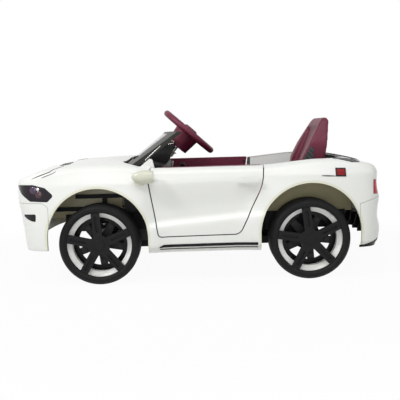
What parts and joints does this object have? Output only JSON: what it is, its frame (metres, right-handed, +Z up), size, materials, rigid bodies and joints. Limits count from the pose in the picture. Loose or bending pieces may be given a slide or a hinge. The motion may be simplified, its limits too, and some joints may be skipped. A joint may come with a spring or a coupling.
{
  "type": "ride-on toy car",
  "caption": "Low open electric ride-on car for a small child, with opening doors, steered front wheels, geared rear wheels, moulded seat, smoked screen and working controls.",
  "frame": {"origin": "on the ground, under the middle of the overall box", "axes": "+X to the rear of the car, -Y to the car's left side, +Z up"},
  "size_m": [1.0969, 0.638, 0.5031],
  "materials": {
    "body_white": "glossy white moulded plastic",
    "black_trim": "satin black moulded plastic",
    "grey_trim": "dark grey textured plastic",
    "maroon_trim": "satin maroon moulded plastic",
    "smoked_screen": "smoked clear plastic",
    "lamp_lens": "dark tinted lens",
    "fog_lens": "dark lens",
    "tail_lens": "red lens",
    "mirror_face": "silvered plastic mirror",
    "tyre_black": "black moulded tread",
    "rim_white": "white painted rim band",
    "cap_black": "gloss black wheel cap",
    "steel": "zinc plated steel",
    "frame_black": "black painted steel",
    "nylon": "natural nylon",
    "pinion_brass": "turned brass",
    "motor_steel": "plated motor can",
    "battery_case": "dark battery case",
    "button_red": "red button"
  },
  "bodies": {
    "car": {"body_shell": "body_white", "front_bumper": "body_white", "rear_bumper": "body_white", "mirrors": "body_white", "rear_diffuser": "black_trim", "grille": "black_trim", "sill_strips": "black_trim", "column_pod": "black_trim", "dashboard": "black_trim", "deck_panel": "grey_trim", "seat_panels": "grey_trim", "cabin_tub": "grey_trim", "seat": "maroon_trim", "windscreen": "smoked_screen", "headlamps": "lamp_lens", "fog_lamps": "fog_lens", "tail_lamps": "tail_lens", "mirror_faces": "mirror_face", "door_hinges": "steel", "kingpins": "steel", "rear_axle": "steel", "chassis_bolts": "steel", "front_beam": "frame_black", "chassis": "black_trim", "gearboxes": "black_trim", "charging_socket": "black_trim", "column_bushes": "nylon", "motors": "motor_steel", "battery": "battery_case"},
    "door_left": {"door_skin_left": "body_white", "door_trim_left": "maroon_trim", "door_handle_left": "body_white"},
    "door_right": {"door_skin_right": "body_white", "door_trim_right": "maroon_trim", "door_handle_right": "body_white"},
    "steering": {"steering_wheel": "maroon_trim", "steering_shaft": "steel"},
    "horn": {"horn_button": "black_trim"},
    "knuckle_left": {"knuckle_left": "steel"},
    "knuckle_right": {"knuckle_right": "steel"},
    "tie_rod": {"tie_rod": "steel"},
    "wheel_front_left": {"tyre_front_left": "tyre_black", "rim_front_left": "rim_white", "wheel_cap_front_left": "cap_black"},
    "wheel_front_right": {"tyre_front_right": "tyre_black", "rim_front_right": "rim_white", "wheel_cap_front_right": "cap_black"},
    "wheel_rear_left": {"tyre_rear_left": "tyre_black", "rim_rear_left": "rim_white", "wheel_cap_rear_left": "cap_black", "drive_gear_left": "nylon"},
    "wheel_rear_right": {"tyre_rear_right": "tyre_black", "rim_rear_right": "rim_white", "wheel_cap_rear_right": "cap_black", "drive_gear_right": "nylon"},
    "pinion_left": {"motor_pinion_left": "pinion_brass"},
    "pinion_right": {"motor_pinion_right": "pinion_brass"},
    "pedal": {"pedal": "black_trim"},
    "power_button": {"power_button": "button_red"},
    "shift_lever": {"shift_lever": "black_trim"}
  },
  "joints": [
    {"name": "steering_turn", "type": "hinge", "parent": "car", "child": "steering", "pos_m": [-0.0275, 0, 0.432], "axis": [0.6639, 0, 0.7478], "range_deg": [-45, 45]},
    {"name": "knuckle_left_turn", "type": "hinge", "parent": "car", "child": "knuckle_left", "pos_m": [-0.2915, -0.165, 0.1165], "axis": [0, 0, 1], "range_deg": [-20.5, 20.5]},
    {"name": "knuckle_right_turn", "type": "hinge", "parent": "car", "child": "knuckle_right", "pos_m": [-0.2915, 0.165, 0.1165], "axis": [0, 0, 1], "range_deg": [-20.5, 20.5]},
    {"name": "tie_rod_shift", "type": "slide", "parent": "car", "child": "tie_rod", "axis": [0, 1, 0], "range_m": [-0.01405, 0.01405]},
    {"name": "wheel_front_left_spin", "type": "hinge", "parent": "knuckle_left", "child": "wheel_front_left", "pos_m": [-0.2915, -0.24, 0.1165], "axis": [0, 1, 0], "continuous": true},
    {"name": "wheel_front_right_spin", "type": "hinge", "parent": "knuckle_right", "child": "wheel_front_right", "pos_m": [-0.2915, 0.24, 0.1165], "axis": [0, 1, 0], "continuous": true},
    {"name": "wheel_rear_left_spin", "type": "hinge", "parent": "car", "child": "wheel_rear_left", "pos_m": [0.3165, -0.24, 0.1165], "axis": [0, 1, 0], "continuous": true},
    {"name": "wheel_rear_right_spin", "type": "hinge", "parent": "car", "child": "wheel_rear_right", "pos_m": [0.3165, 0.24, 0.1165], "axis": [0, 1, 0], "continuous": true},
    {"name": "pinion_left_spin", "type": "hinge", "parent": "car", "child": "pinion_left", "pos_m": [0.27232, -0.148, 0.13525], "axis": [0, 1, 0], "continuous": true},
    {"name": "pinion_right_spin", "type": "hinge", "parent": "car", "child": "pinion_right", "pos_m": [0.27232, 0.148, 0.13525], "axis": [0, 1, 0], "continuous": true},
    {"name": "door_left_open", "type": "hinge", "parent": "car", "child": "door_left", "pos_m": [-0.11375, -0.274, 0.2], "axis": [0.1578, 0, -0.9875], "range_deg": [0, 40]},
    {"name": "door_right_open", "type": "hinge", "parent": "car", "child": "door_right", "pos_m": [-0.11375, 0.274, 0.2], "axis": [-0.1578, 0, 0.9875], "range_deg": [0, 40]},
    {"name": "pedal_press", "type": "hinge", "parent": "car", "child": "pedal", "pos_m": [-0.1515, 0.055, 0.112], "axis": [0, -1, 0], "range_deg": [0, 14], "stiffness_Nm_per_rad": 1.2, "springref_deg": -6.88},
    {"name": "horn_press", "type": "slide", "parent": "steering", "child": "horn", "axis": [-0.6639, 0, -0.7478], "range_m": [0, 0.003], "stiffness_N_per_m": 500, "springref_m": -0.002},
    {"name": "power_press", "type": "slide", "parent": "car", "child": "power_button", "axis": [-1, 0, 0], "range_m": [0, 0.003], "stiffness_N_per_m": 400, "springref_m": -0.002},
    {"name": "shift_lever_move", "type": "hinge", "parent": "car", "child": "shift_lever", "pos_m": [-0.1115, 0.12, 0.302], "axis": [0, -1, 0], "range_deg": [-14, 14]}
  ],
  "couplings": [
    {"joint": "knuckle_left_turn", "follows": "steering_turn", "ratio": 0.45},
    {"joint": "knuckle_right_turn", "follows": "steering_turn", "ratio": 0.45},
    {"joint": "tie_rod_shift", "follows": "steering_turn", "m_per_rad": 0.01776},
    {"joint": "pinion_left_spin", "follows": "wheel_rear_left_spin", "ratio": -3.5714},
    {"joint": "pinion_right_spin", "follows": "wheel_rear_right_spin", "ratio": -3.5714}
  ]
}
